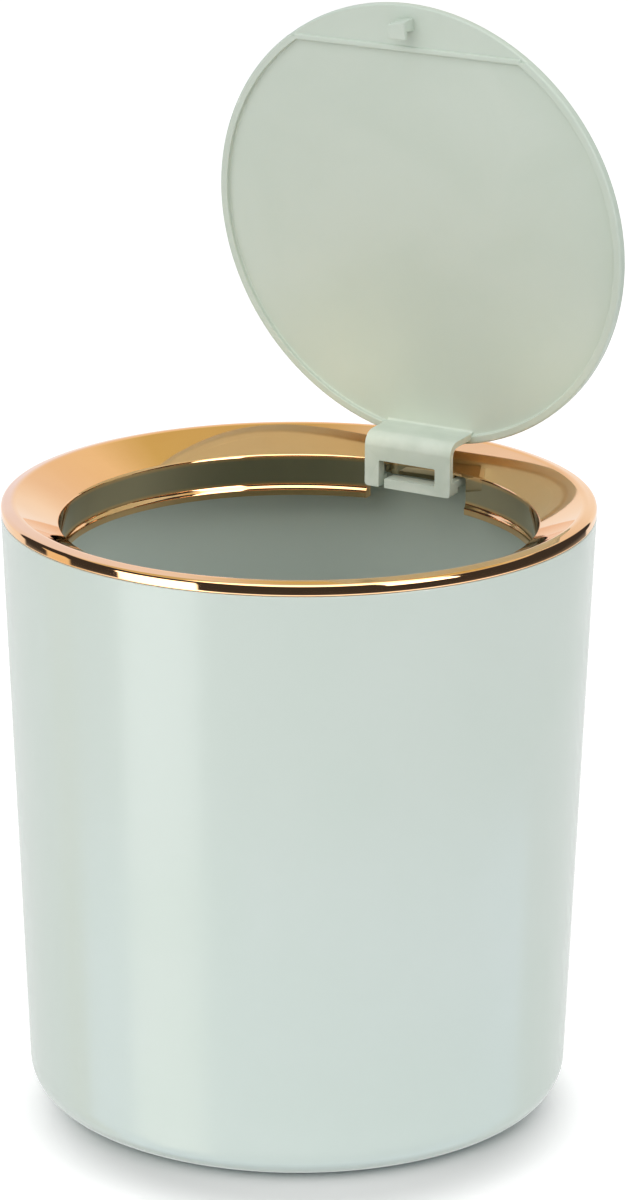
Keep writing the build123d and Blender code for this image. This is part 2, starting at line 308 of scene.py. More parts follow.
def makeRing():
    size = ringSize
    spigotOuter = rim - binBody["wall"] - size["spigotGap"]
    spigotInner = spigotOuter - size["wall"]
    end, inner = size["endRound"], size["innerRound"]
    outline = roundedCorners([
        (rim, seat, size["bandFoot"]),
        (rim, seat + size["bandHeight"], size["bandRound"]),
        (crestRadius, crestZ, size["crestRound"]),
        (mouthRadius, mouthZ, size["mouthRound"]),
        (mouthRadius, lipLow + size["lipHeight"], size["lipRound"]),
        (lipRadius, lipLow + size["lipFace"], size["lipRound"]),
        (lipRadius, lipLow, end),
        (skirtOuter, lipLow, end),
        (skirtOuter, funnelUnder(skirtOuter), inner),
        (spigotInner, funnelUnder(spigotInner), inner),
        (spigotInner, seat - size["spigotDepth"], end),
        (spigotOuter, seat - size["spigotDepth"], end),
        (spigotOuter, seat),
    ], 9)
    ring = lathe("rimPlated", outline, size["turns"])
    # hinge gap, which leaves the apron between the lid's arms
    wide, apron, top = size["gapHalf"], size["apronHalf"], funnelUnder(skirtOuter)
    apronLow = hinge["z"] - size["apronDrop"]
    gap = extrudeOutline("gapTool", roundedCorners([
        (-wide, lipLow - 1), (-wide, top, inner), (-apron, top, inner), (-apron, apronLow),
        (apron, apronLow), (apron, top, inner), (wide, top, inner), (wide, lipLow - 1),
    ], 4), "Y", size["gapFrom"], skirtOuter + 1)
    combine(ring, gap, "DIFFERENCE")
    spigotCut = block("spigotTool", (-wide, hinge["y"], 130), (wide, rim - 0.5, seat - 0.001))
    combine(ring, spigotCut, "DIFFERENCE")
    # lugs that hold the pin, joined to the apron's ends
    eye = hinge["eyeRadius"]
    for side in (-1, 1):
        ends = sorted((side * size["lugInner"], side * size["lugOuter"]))
        curve = [
            (hinge["y"] + eye * math.cos(a), hinge["z"] + eye * math.sin(a))
            for a in [math.radians(-90 + 9 * step) for step in range(11)]
        ]
        lug = extrudeOutline("lugTool", [Vector(point) * mm for point in [
            (mouthRadius, hinge["z"] - size["apronDrop"]), *curve,
            (hinge["y"] + eye, funnelUnder(hinge["y"] + eye) + size["sunk"]),
            (mouthRadius, funnelUnder(mouthRadius) + size["sunk"]),
        ]], "X", *ends)
        softenEdges(lug, size["lugSoft"])
        combine(ring, lug, "UNION")
    hole, long = hinge["lugHole"], hinge["lugBore"]
    bore = lathe("boreTool", [Vector(point) * mm for point in [
        (0, -long), (hole, -long), (hole, long), (0, long)]], 32)
    bore.rotation_euler = (0, math.pi / 2, 0)
    bore.location = (0, hinge["y"] * mm, hinge["z"] * mm)
    settle(bore)
    combine(ring, bore, "DIFFERENCE")
    # pad and cheeks for the latch
    front, back, wide = size["padFront"], size["padBack"], size["padHalf"]
    pad = extrudeOutline("padTool", [Vector(point) * mm for point in [
        (-front, size["padLow"]), (-front, funnelUnder(front) + size["sunk"]),
        (-back, funnelUnder(back) + size["sunk"]), (-back, size["padLow"]),
    ]], "X", -wide, wide)
    combine(ring, pad, "UNION")
    for side in (-1, 1):
        ends = sorted((side * size["cheekInner"], side * wide))
        cheek = block("cheekTool", (ends[0], -front, size["cheekLow"]),
                      (ends[1], -back, size["cheekTop"]), size["cheekSoft"])
        combine(ring, cheek, "UNION")
    slot = block("slotTool", (-size["slotHalf"], -size["slotFront"], lipLow - 1),
                 (size["slotHalf"], -size["slotBack"], size["slotTop"]))
    combine(ring, slot, "DIFFERENCE")
    return ring


rimPlated = makeRing()
smooth(rimPlated)
print("ring done")


# pop-up lid

lidSize = {
    "radius": 55.19,
    "thickness": 2.55,
    "under": 137.7,
    "panelRecess": 1.1,
    "segmentRecess": 0.5,
    "edgeBand": 2.0,
    "edgeRound": 0.6,
    "panelRound": 0.35,
    "bandRound": 0.25,
    "openAngle": 82.4,
    "chordAway": 44.4,
    "chordWidth": 1.5,
    "chordHalf": 30.9,
    "chordLow": 0.02,
    "chordHigh": 1.6,
    "chordSoft": 0.4,
    "segmentOverlap": 0.3,
    "leafFront": 49.75,
    "leafLow": 134.97,
    "leafHalf": 11.9,
    "neckRoot": 51.3,
    "neckRound": 0.6,
    "foldZ": 148.22,
    "foldRound": 3.5,
    "footDepth": 4.0,
    "legDepth": 2.6,
    "windowLeft": 8.0,
    "windowRight": 7.7,
    "windowLow": 137.37,
    "windowHigh": 141.67,
    "windowRound": 0.35,
    "slit": 1.6,
    "slitRound": 0.3,
    "legOverlap": 0.5,
    "leafSoft": 0.32,
    "apart": 0.002,  # keeps the foot's and leg's face out of the leaf's own plane
    "corner": 0.9,
    "armInner": 9.9,
    "armRise": 1.9,
    "armSunk": 0.6,
    "armSoft": 0.2,
    "catchFront": 52.4,
    "catchHeight": 4.2,
    "catchHalf": 2.3,
    "catchRoot": 3.5,
    "catchNeck": 2.7,
    "catchSkew": 1.0,
    "catchSunk": 0.6,
    "catchSoft": 0.35,
    "clawReach": 4.6,
    "clawThickness": 1.2,
    "clawRound": 0.4,
    "turns": 288,
    "weld": 0.01,
    "levelWithin": 0.003,
}
openTurn = math.radians(lidSize["openAngle"])
lidRise = lidSize["under"] - hinge["z"]
openY = hinge["y"] - hinge["y"] * math.cos(openTurn) + lidRise * math.sin(openTurn)
openZ = hinge["z"] + hinge["y"] * math.sin(openTurn) + lidRise * math.cos(openTurn)


def opened(along, rise):
    # where a point of the flat lid stands when the lid is open, as (y, z)
    return (
        openY + along * math.cos(openTurn) + rise * math.sin(openTurn),
        openZ - along * math.sin(openTurn) + rise * math.cos(openTurn),
    )


def mergeLevel(piece, height):
    # the unions leave thin triangles on the lid's level faces, which showed as a streak; this welds
    # close points and makes one face of those at this height of the lid, in mm
    editMode(piece)
    bpy.ops.mesh.select_all(action="SELECT")
    bpy.ops.mesh.remove_doubles(threshold=lidSize["weld"] * mm)
    bpy.ops.mesh.select_all(action="DESELECT")
    leaveEdit()
    up = Vector((0, math.sin(openTurn), math.cos(openTurn)))
    level = (Vector((0, openY, openZ)).dot(up) + height) * mm
    for face in piece.data.polygons:
        near = abs(face.center.dot(up) - level) < lidSize["levelWithin"] * mm
        face.select = near and abs(face.normal.dot(up)) > 0.999
    editMode(piece, "FACE")
    bpy.ops.mesh.dissolve_faces()
    leaveEdit()


def makeLid():
    size = lidSize
    radius, thick, recess, band = size["radius"], size["thickness"], size["panelRecess"], size["edgeBand"]
    soft = size["edgeRound"]
    disc = lathe("lidPanel", roundedCorners([
        (0, recess),
        (radius - band, recess, size["panelRound"]),
        (radius - band, 0, size["bandRound"]),
        (radius, 0, soft),
        (radius, thick, soft),
        (0, thick),
    ], 6), size["turns"])
    # beyond the stiffening rib, near the catch, the underside is set back right to the edge
    rib = -size["chordAway"]
    combine(disc, block("discTool", (-60, -60, -1), (60, rib, thick + 1)), "DIFFERENCE")
    segment = lathe("segmentTool", roundedCorners([
        (0, size["segmentRecess"]),
        (radius, size["segmentRecess"], soft),
        (radius, thick, soft),
        (0, thick),
    ], 6), size["turns"])
    combine(segment, block("restTool", (-60, rib + size["segmentOverlap"], -1), (60, 60, thick + 1)),
            "DIFFERENCE")
    combine(disc, segment, "UNION")
    half, end = size["chordWidth"] / 2, size["chordHalf"]
    combine(disc, block("ribTool", (-end, rib - half, size["chordLow"]),
                        (end, rib + half, size["chordHigh"]), size["chordSoft"], 3), "UNION")
    # catch: a tapered stem with a claw towards the lid's centre, its front skewed
    front, high = -size["catchFront"], size["segmentRecess"]
    tip, side = high - size["catchHeight"], size["catchHalf"]
    stem = extrudeOutline("stemTool", roundedCorners([
        (front, high + size["catchSunk"]), (front, tip), (front + size["clawReach"], tip),
        (front + size["clawReach"], tip + size["clawThickness"]),
        (front + size["catchNeck"], tip + size["clawThickness"], size["clawRound"]),
        (front + size["catchRoot"], high), (front + size["catchRoot"], high + size["catchSunk"]),
    ], 4), "X", -side, side)
    skew = extrudeOutline("skewTool", [Vector(point) * mm for point in [
        (side + 1, front - 0.2), (side, front), (-side, front + size["catchSkew"]),
        (-side - 1, front + size["catchSkew"]), (-side - 1, front - 2), (side + 1, front - 2),
    ]], "Z", tip - 1, high + 1)
    combine(stem, skew, "DIFFERENCE")
    softenEdges(stem, size["catchSoft"], 3, 50)
    combine(disc, stem, "UNION")
    disc.rotation_euler = (-openTurn, 0, 0)
    disc.location = (0, openY * mm, openZ * mm)
    settle(disc)
    return disc


def makeLeaf():
    size = lidSize
    front, low, half = size["leafFront"], size["leafLow"], size["leafHalf"]
    thick = size["thickness"] - size["panelRecess"]
    root = size["neckRoot"]
    rootY, rootZ = opened(root, size["panelRecess"])
    slope = (rootZ - size["foldZ"]) / (rootY - front)
    back = front + thick

    def under(depth):
        return size["foldZ"] + (depth - front) * slope - thick * math.hypot(1, slope)

    tail = opened(root - 2 * size["neckRound"], (size["thickness"] + size["panelRecess"]) / 2)
    leaf = extrudeOutline("leafTool", roundedCorners([
        opened(root - 2 * size["neckRound"], size["panelRecess"]),
        (rootY, rootZ, size["neckRound"]),
        (front, size["foldZ"], size["foldRound"]),
        (front, low),
        (back, low),
        (back, under(back), size["foldRound"] - thick),
        (tail[0], under(tail[0])),
        tail,
    ], 12), "X", -half, half)
    foot = block("footTool", (-half, front + size["apart"], low),
                 (half, front + size["footDepth"], size["windowLow"]))
    combine(leaf, foot, "UNION")
    leg = block("legTool", (-half, front + size["apart"], low),
                (-size["windowLeft"] + size["legOverlap"], front + size["legDepth"], size["windowHigh"]))
    combine(leaf, leg, "UNION")
    left, right, high, bar = -size["windowLeft"], size["windowRight"], size["windowHigh"], size["windowLow"]
    # the two lower corners are rounded by cutting away all that lies outside an arc
    for side in (-1, 1):
        edge, curve = side * half, size["corner"]
        middle = Vector((edge - side * curve, low + curve))
        arc = [
            (middle + curve * Vector((side * math.cos(a), -math.sin(a)))) * mm
            for a in [math.radians(15 * step) for step in range(7)]
        ]
        outside = [Vector((edge - side * curve, low - 1)) * mm, Vector((edge + side, low - 1)) * mm,
                   Vector((edge + side, low + curve)) * mm]
        corner = extrudeOutline("cornerTool", arc + outside, "Y", front - 1, front + size["footDepth"] + 1)
        combine(leaf, corner, "DIFFERENCE")
    bend = size["windowRound"]
    window = extrudeOutline("windowTool", roundedCorners([
        (left, low - 1), (left, high, bend), (right, high, bend), (right, bar, bend),
        (left + size["slit"], bar, size["slitRound"]), (left + size["slit"], low - 1),
    ], 4), "Y", front - 1, front + size["footDepth"] + 1)
    combine(leaf, window, "DIFFERENCE")
    softenEdges(leaf, size["leafSoft"], 3, 50)
    # arms back to the pin, each ending in an eye
    eye, start = hinge["eyeRadius"], back - size["armSunk"]
    for side in (-1, 1):
        ends = sorted((side * size["armInner"], side * size["leafHalf"]))
        curve = [
            (hinge["y"] + eye * math.cos(a), hinge["z"] + eye * math.sin(a))
            for a in [math.radians(-90 + 12 * step) for step in range(16)]
        ]
        arm = extrudeOutline("armTool", [Vector(point) * mm for point in [
            (start, low + size["armRise"]), (front + size["footDepth"], low + size["armRise"]), *curve,
            (hinge["y"] - 1.4, hinge["z"] + 0.3), (start, hinge["z"]),
        ]], "X", *ends)
        softenEdges(arm, size["armSoft"], 2, 50)
        combine(leaf, arm, "UNION")
    hole, long = hinge["pinHole"], hinge["armBore"]
    bore = lathe("boreTool", [Vector(point) * mm for point in [
        (0, -long), (hole, -long), (hole, long), (0, long)]], 32)
    bore.rotation_euler = (0, math.pi / 2, 0)
    bore.location = (0, hinge["y"] * mm, hinge["z"] * mm)
    settle(bore)
    combine(leaf, bore, "DIFFERENCE")
    return leaf


popLid = makeLid()
combine(popLid, makeLeaf(), "UNION")
mergeLevel(popLid, lidSize["thickness"])
mergeLevel(popLid, lidSize["panelRecess"])
smooth(popLid)
print("lid done")


# what replaces what, and what each piece moves with

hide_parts("bin_body")
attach(binShell, "bin")
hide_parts("rim_ring")
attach(rimPlated, "ring")
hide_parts("lid")
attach(popLid, "lid")


# shader helpers

def addNode(tree, kind, place, **values):
    node = tree.nodes.new(kind)
    node.location = place
    for name, value in values.items():
        if name in node.inputs:
            node.inputs[name].default_value = value
        else:
            setattr(node, name, value)
    return node


def link(tree, start, end):
    tree.links.new(start, end)


def linear(red, green, blue):
    def one(value):
        value /= 255
        return value / 12.92 if value <= 0.04045 else ((value + 0.055) / 1.055) ** 2.4
    return (one(red), one(green), one(blue), 1)


def newGroup(name, inputs, outputs):
    group = bpy.data.node_groups.new(name, "ShaderNodeTree")
    for title, kind, value in inputs:
        socket = group.interface.new_socket(title, in_out="INPUT", socket_type=kind)
        if value is not None:
            socket.default_value = value
    for title, kind in outputs:
        group.interface.new_socket(title, in_out="OUTPUT", socket_type=kind)
    return group, addNode(group, "NodeGroupInput", (-900, 0)), addNode(group, "NodeGroupOutput", (700, 0))


def makeGrainGroup():
    # three noises: a fine grain and a slower wave for bumps, and a mottle for colour and gloss
    group, source, result = newGroup("mouldGrain", [
        ("Vector", "NodeSocketVector", None),
        ("Grain Scale", "NodeSocketFloat", 2500.0),
        ("Mottle Scale", "NodeSocketFloat", 30.0),
        ("Wave Scale", "NodeSocketFloat", 45.0),
        ("Wave Share", "NodeSocketFloat", 0.5),
    ], [("Height", "NodeSocketFloat"), ("Mottle", "NodeSocketFloat")])
    grain = addNode(group, "ShaderNodeTexNoise", (-600, 200), Detail=4.0, Roughness=0.6)
    wave = addNode(group, "ShaderNodeTexNoise", (-600, -50), Detail=1.0, Roughness=0.4)
    mottle = addNode(group, "ShaderNodeTexNoise", (-600, -300), Detail=5.0, Roughness=0.55, Distortion=0.4)
    for noise, scale in ((grain, "Grain Scale"), (wave, "Wave Scale"), (mottle, "Mottle Scale")):
        link(group, source.outputs["Vector"], noise.inputs["Vector"])
        link(group, source.outputs[scale], noise.inputs["Scale"])
    blend = addNode(group, "ShaderNodeMix", (-200, 100), data_type="FLOAT")
    link(group, source.outputs["Wave Share"], blend.inputs[0])
    link(group, grain.outputs["Fac"], blend.inputs[2])
    link(group, wave.outputs["Fac"], blend.inputs[3])
    spread = addNode(group, "ShaderNodeMapRange", (-200, -300), interpolation_type="SMOOTHSTEP")
    spread.inputs["From Min"].default_value = 0.3
    spread.inputs["From Max"].default_value = 0.7
    link(group, mottle.outputs["Fac"], spread.inputs["Value"])
    link(group, blend.outputs[0], result.inputs["Height"])
    link(group, spread.outputs[0], result.inputs["Mottle"])
    return group


def makeEdgeGroup():
    # finds outer edges, broken up a little, which get a paler tone: partly wear, partly a painted highlight
    # where the edges catch light
    group, source, result = newGroup("edgeWearAndSheen", [
        ("Vector", "NodeSocketVector", None),
        ("Start", "NodeSocketFloat", 0.53),
        ("Full", "NodeSocketFloat", 0.62),
        ("Break Scale", "NodeSocketFloat", 160.0),
    ], [("Mask", "NodeSocketFloat")])
    shape = addNode(group, "ShaderNodeNewGeometry", (-600, 200))
    edge = addNode(group, "ShaderNodeMapRange", (-300, 200), interpolation_type="SMOOTHSTEP")
    link(group, shape.outputs["Pointiness"], edge.inputs["Value"])
    link(group, source.outputs["Start"], edge.inputs["From Min"])
    link(group, source.outputs["Full"], edge.inputs["From Max"])
    noise = addNode(group, "ShaderNodeTexNoise", (-600, -100), Detail=3.0)
    link(group, source.outputs["Vector"], noise.inputs["Vector"])
    link(group, source.outputs["Break Scale"], noise.inputs["Scale"])
    patch = addNode(group, "ShaderNodeMapRange", (-300, -100))
    patch.inputs["From Min"].default_value = 0.35
    patch.inputs["From Max"].default_value = 0.6
    link(group, noise.outputs["Fac"], patch.inputs["Value"])
    both = addNode(group, "ShaderNodeMath", (0, 100), operation="MULTIPLY")
    link(group, edge.outputs[0], both.inputs[0])
    link(group, patch.outputs[0], both.inputs[1])
    link(group, both.outputs[0], result.inputs["Mask"])
    return group


def makeDustGroup():
    # faint dust that lies where a surface faces up
    group, source, result = newGroup("lyingDust", [
        ("Vector", "NodeSocketVector", None),
        ("Speck Scale", "NodeSocketFloat", 700.0),
    ], [("Mask", "NodeSocketFloat")])
    shape = addNode(group, "ShaderNodeNewGeometry", (-600, 200))
    apart = addNode(group, "ShaderNodeSeparateXYZ", (-400, 200))
    link(group, shape.outputs["Normal"], apart.inputs[0])
    upward = addNode(group, "ShaderNodeMapRange", (-200, 200), interpolation_type="SMOOTHSTEP")
    upward.inputs["From Min"].default_value = 0.5
    upward.inputs["From Max"].default_value = 1.0
    link(group, apart.outputs["Z"], upward.inputs["Value"])
    speck = addNode(group, "ShaderNodeTexNoise", (-600, -100), Detail=6.0, Roughness=0.7)
    link(group, source.outputs["Vector"], speck.inputs["Vector"])
    link(group, source.outputs["Speck Scale"], speck.inputs["Scale"])
    few = addNode(group, "ShaderNodeMapRange", (-200, -100))
    few.inputs["From Min"].default_value = 0.55
    few.inputs["From Max"].default_value = 0.75
    link(group, speck.outputs["Fac"], few.inputs["Value"])
    both = addNode(group, "ShaderNodeMath", (100, 100), operation="MULTIPLY")
    link(group, upward.outputs[0], both.inputs[0])
    link(group, few.outputs[0], both.inputs[1])
    link(group, both.outputs[0], result.inputs["Mask"])
    return group


mouldGrain = makeGrainGroup()
edgeWearAndSheen = makeEdgeGroup()
lyingDust = makeDustGroup()


def placeGroup(tree, group, place, vector, **values):
    node = addNode(tree, "ShaderNodeGroup", place)
    node.node_tree = group
    for name, value in values.items():
        node.inputs[name].default_value = value
    link(tree, vector, node.inputs["Vector"])
    return node


def mixColours(tree, place, mask, first, second):
    mix = addNode(tree, "ShaderNodeMix", place, data_type="RGBA")
    for socket, value in ((mix.inputs[6], first), (mix.inputs[7], second)):
        if isinstance(value, tuple):
            socket.default_value = value
        else:
            link(tree, value, socket)
    link(tree, mask, mix.inputs[0])
    return mix.outputs[2]


def scaled(tree, place, socket, low, high):
    # spreads a 0 to 1 mask between two values
    spread = addNode(tree, "ShaderNodeMapRange", place)
    spread.inputs["To Min"].default_value = low
    spread.inputs["To Max"].default_value = high
    link(tree, socket, spread.inputs["Value"])
    return spread.outputs[0]


dustColour = (226, 224, 218)
# painted shade inside the bin: mm inside the outer cone where it is full and where it ends
innerShadeDepth = (1.6, 0.8)  # mm inside the outer cone, where the inner tone is full and where it ends


def makeFinish(name, size):
    # one recipe for every moulded, plated and drawn surface; the dictionaries below give the numbers
    material = bpy.data.materials.new(name)
    material.use_nodes = True
    tree = material.node_tree
    shader = tree.nodes["Principled BSDF"]
    shader.location = (500, 0)
    tree.nodes["Material Output"].location = (800, 0)
    place = addNode(tree, "ShaderNodeTexCoord", (-1300, 0))
    turned = addNode(tree, "ShaderNodeMapping", (-1100, 0))
    turned.inputs["Scale"].default_value = size.get("stretch", (1, 1, 1))
    link(tree, place.outputs["Object"], turned.inputs["Vector"])
    vector = turned.outputs["Vector"]
    grain = placeGroup(tree, mouldGrain, (-800, 200), vector, **{
        "Grain Scale": size["grainScale"], "Mottle Scale": size["mottleScale"],
        "Wave Scale": size["waveScale"], "Wave Share": size["waveShare"],
    })
    edge = placeGroup(tree, edgeWearAndSheen, (-800, -150), vector)
    dust = placeGroup(tree, lyingDust, (-800, -400), vector)
    base = mixColours(tree, (-400, 300), grain.outputs["Mottle"], size["colour"], size["mottleColour"])
    # paler edges: partly wear, partly painted highlight
    edgeShare = scaled(tree, (-600, -150), edge.outputs["Mask"], 0, size["edgeShare"])
    wearAndSheen = mixColours(tree, (-150, 250), edgeShare, base, size["edgeColour"])
    dustShare = scaled(tree, (-600, -400), dust.outputs["Mask"], 0, size["dustShare"])
    dusty = mixColours(tree, (100, 200), dustShare, wearAndSheen, linear(*dustColour))
    if "innerShadeColour" in size:
        # painted shade: the bin's inside gets a slightly darker colour, standing in for the shade inside
        # it; the outer wall is one drafted cone
        flat = addNode(tree, "ShaderNodeVectorMath", (-700, 700), operation="MULTIPLY")
        flat.inputs[1].default_value = (1, 1, 0)
        link(tree, place.outputs["Object"], flat.inputs[0])
        across = addNode(tree, "ShaderNodeVectorMath", (-500, 700), operation="LENGTH")
        link(tree, flat.outputs[0], across.inputs[0])
        apart = addNode(tree, "ShaderNodeSeparateXYZ", (-700, 500))
        link(tree, place.outputs["Object"], apart.inputs[0])
        cone = addNode(tree, "ShaderNodeMath", (-300, 600), operation="MULTIPLY_ADD")
        cone.inputs[1].default_value = -math.tan(math.radians(binBody["draft"]))
        link(tree, apart.outputs["Z"], cone.inputs[0])
        link(tree, across.outputs["Value"], cone.inputs[2])
        inner = scaled(tree, (-100, 600), cone.outputs[0], 1, 0)
        inner.node.inputs["From Min"].default_value = (bodyRadius(0) - innerShadeDepth[0]) * mm
        inner.node.inputs["From Max"].default_value = (bodyRadius(0) - innerShadeDepth[1]) * mm
        dusty = mixColours(tree, (300, 500), inner, dusty, size["innerShadeColour"])
    if "skirtDarkReflection" in size:
        # painted reflection: the skirt's upright wall gets a greyer, darker tone of the plating, standing
        # in for the dark bin it reflects
        apart = addNode(tree, "ShaderNodeSeparateXYZ", (-500, 600))
        link(tree, place.outputs["Object"], apart.inputs[0])
        low, high, soft = (height * mm for height in size["skirtDarkReflectionRange"])
        both = addNode(tree, "ShaderNodeMath", (100, 600), operation="MULTIPLY")
        for number, (start, end) in enumerate(((low, low + soft), (high, high - soft))):
            side = addNode(tree, "ShaderNodeMapRange", (-250, 700 - 250 * number))
            side.inputs["From Min"].default_value = start
            side.inputs["From Max"].default_value = end
            link(tree, apart.outputs["Z"], side.inputs["Value"])
            link(tree, side.outputs[0], both.inputs[number])
        dusty = mixColours(tree, (300, 400), both.outputs[0], dusty, size["skirtDarkReflection"])
    link(tree, dusty, shader.inputs["Base Color"])
    gloss = scaled(tree, (-150, 0), grain.outputs["Mottle"], *size["roughness"])
    dull = addNode(tree, "ShaderNodeMath", (150, 0), operation="ADD")
    link(tree, gloss, dull.inputs[0])
    link(tree, dustShare, dull.inputs[1])
    link(tree, dull.outputs[0], shader.inputs["Roughness"])
    bump = addNode(tree, "ShaderNodeBump", (150, -250))
    bump.inputs["Strength"].default_value = size["bump"]
    bump.inputs["Distance"].default_value = size["bumpDepth"] * mm
    link(tree, grain.outputs["Height"], bump.inputs["Height"])
    link(tree, bump.outputs["Normal"], shader.inputs["Normal"])
    shader.inputs["Metallic"].default_value = size.get("metallic", 0.0)
    shader.inputs["IOR"].default_value = size.get("ior", 1.45)
    shader.inputs["Coat Weight"].default_value = size.get("coat", 0.0)
    shader.inputs["Coat Roughness"].default_value = size.get("coatRoughness", 0.1)
    return material


def dress(piece, material):
    piece.data.materials.clear()
    piece.data.materials.append(material)


finishes = {
    "mintBody": {
        "colour": linear(209, 220, 213), "mottleColour": linear(207, 219, 211),
        "edgeColour": linear(222, 230, 224), "edgeShare": 0.25, "dustShare": 0.05,
        "roughness": (0.2, 0.24), "bump": 0.1, "bumpDepth": 0.02,
        "grainScale": 3200.0, "mottleScale": 24.0, "waveScale": 14.0, "waveShare": 0.3,
        # the inner colour is painted shade for the bin's inside
        "innerShadeColour": linear(190, 202, 194),
    },
    "mintLid": {
        "colour": linear(203, 214, 203), "mottleColour": linear(199, 211, 199),
        "edgeColour": linear(224, 232, 223), "edgeShare": 0.6, "dustShare": 0.04,
        "roughness": (0.33, 0.39), "bump": 0.16, "bumpDepth": 0.03, "ior": 1.4,
        "grainScale": 3800.0, "mottleScale": 30.0, "waveScale": 30.0, "waveShare": 0.6,
    },
    "roseGold": {
        "colour": linear(246, 198, 148), "mottleColour": linear(244, 194, 143),
        "edgeColour": linear(250, 214, 180), "edgeShare": 0.3, "dustShare": 0.02,
        "roughness": (0.03, 0.06), "bump": 0.1, "bumpDepth": 0.05,
        "grainScale": 1500.0, "mottleScale": 60.0, "waveScale": 120.0, "waveShare": 0.95,
        # the skirt's greyer tone is a painted darker reflection, not the plating's own colour
        "metallic": 1.0, "skirtDarkReflection": linear(196, 177, 150), "skirtDarkReflectionRange": (133.4, 139.6, 0.5),
    },
    "drawnSteel": {
        "colour": linear(196, 195, 192), "mottleColour": linear(176, 174, 170),
        "edgeColour": linear(214, 213, 210), "edgeShare": 0.4, "dustShare": 0.0,
        "roughness": (0.2, 0.34), "bump": 0.25, "bumpDepth": 0.02,
        "grainScale": 2400.0, "mottleScale": 260.0, "waveScale": 500.0, "waveShare": 0.3,
        "stretch": (0.12, 1, 1), "metallic": 1.0,
    },
    "latchNylon": {
        "colour": linear(226, 225, 217), "mottleColour": linear(219, 218, 208),
        "edgeColour": linear(236, 236, 231), "edgeShare": 0.35, "dustShare": 0.05,
        "roughness": (0.36, 0.46), "bump": 0.2, "bumpDepth": 0.03,
        "grainScale": 3000.0, "mottleScale": 90.0, "waveScale": 80.0, "waveShare": 0.4,
    },
}
made = {name: makeFinish(name, size) for name, size in finishes.items()}
dress(binShell, made["mintBody"])
dress(popLid, made["mintLid"])
dress(rimPlated, made["roseGold"])
for name, finish in {
    "hinge_pin": "drawnSteel", "torsion_spring": "drawnSteel", "latch_spring": "drawnSteel",
    "latch_housing": "latchNylon", "latch_plunger": "latchNylon",
}.items():
    dress(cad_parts[name], made[finish])
print("finishes done")


# studio

view = {
    "azimuth": 31.4,
    "pitch": 17.16,
    "roll": 0.246,
    "distance": 1.17275,
    "target": (0.003708, 0, 0.12058),
    "lens": 150,
    "sensor": 36,
    "reach": 20,
}


def addCamera():
    turn = Matrix.Rotation(math.radians(view["azimuth"]), 4, "Z")
    tilt = turn @ Matrix.Rotation(math.radians(90 - view["pitch"]), 4, "X")
    back = tilt @ Vector((0, 0, view["distance"]))
    bpy.ops.object.camera_add()
    camera = bpy.context.active_object
    camera.matrix_world = (
        Matrix.Translation(turn @ Vector(view["target"]) + back)
        @ tilt @ Matrix.Rotation(math.radians(view["roll"]), 4, "Z")
    )
    camera.data.lens = view["lens"]
    camera.data.sensor_width = view["sensor"]
    camera.data.clip_end = view["reach"]
    scene.camera = camera


def addLamp(name, azimuth, elevation, distance, size, power, centre=(0, 0, 0.08), tint=(1, 1, 1)):
    # azimuth 0 is behind the camera, positive to its right; the lamps themselves are not reflected
    angle = math.radians(view["azimuth"] - 90 + azimuth)
    rise = math.radians(elevation)
    away = Vector((math.cos(angle) * math.cos(rise), math.sin(angle) * math.cos(rise), math.sin(rise)))
    bpy.ops.object.light_add(type="AREA", location=Vector(centre) + away * distance)
    lamp = bpy.context.active_object
    lamp.name = name
    lamp.rotation_euler = away.to_track_quat("Z", "Y").to_euler()
    lamp.data.shape = "RECTANGLE"
    lamp.data.size, lamp.data.size_y = size
    lamp.data.energy = power
    lamp.data.color = tint
    lamp.visible_camera = False
    lamp.visible_glossy = False


roomLamps = {
    "keyLeft": {"azimuth": -50, "elevation": 35, "distance": 3.2, "size": (3.6, 3.2), "power": 47},
    "fillRight": {"azimuth": 72, "elevation": 42, "distance": 3.2, "size": (3.2, 3.2), "power": 38},
    "topSoft": {"azimuth": 0, "elevation": 65, "distance": 3, "size": (4, 4), "power": 26},
}
# small lamps close to the open lid, warm ones, and to the bin's inner wall stand in for light that the
# polished ring throws there; they suit the open lid, and leave pale patches on the closed one
nearLamps = {
    "lidBounceLeft": {"azimuth": -31.4, "elevation": -21, "distance": 0.045, "size": (0.02, 0.01),
                      "power": 0.0026, "centre": (-0.026, 0.0525, 0.169), "tint": (1, 0.9, 0.72)},
    "lidGlintLeft": {"azimuth": -31.4, "elevation": -21, "distance": 0.018, "size": (0.012, 0.008),
                     "power": 0.001, "centre": (-0.021, 0.0525, 0.16), "tint": (1, 0.86, 0.6)},
    "lidGlintRight": {"azimuth": -31.4, "elevation": -21, "distance": 0.018, "size": (0.012, 0.008),
                      "power": 0.0006, "centre": (0.036, 0.0525, 0.168), "tint": (1, 0.88, 0.66)},
    "lidBounceRight": {"azimuth": -31.4, "elevation": -21, "distance": 0.05, "size": (0.02, 0.01),
                       "power": 0.0024, "centre": (0.034, 0.0525, 0.167), "tint": (1, 0.92, 0.78)},
    "binBounce": {"azimuth": 36, "elevation": 11, "distance": 0.034, "size": (0.02, 0.008),
                  "power": 0.0034, "centre": (-0.06, 0.0146, 0.125)},
}


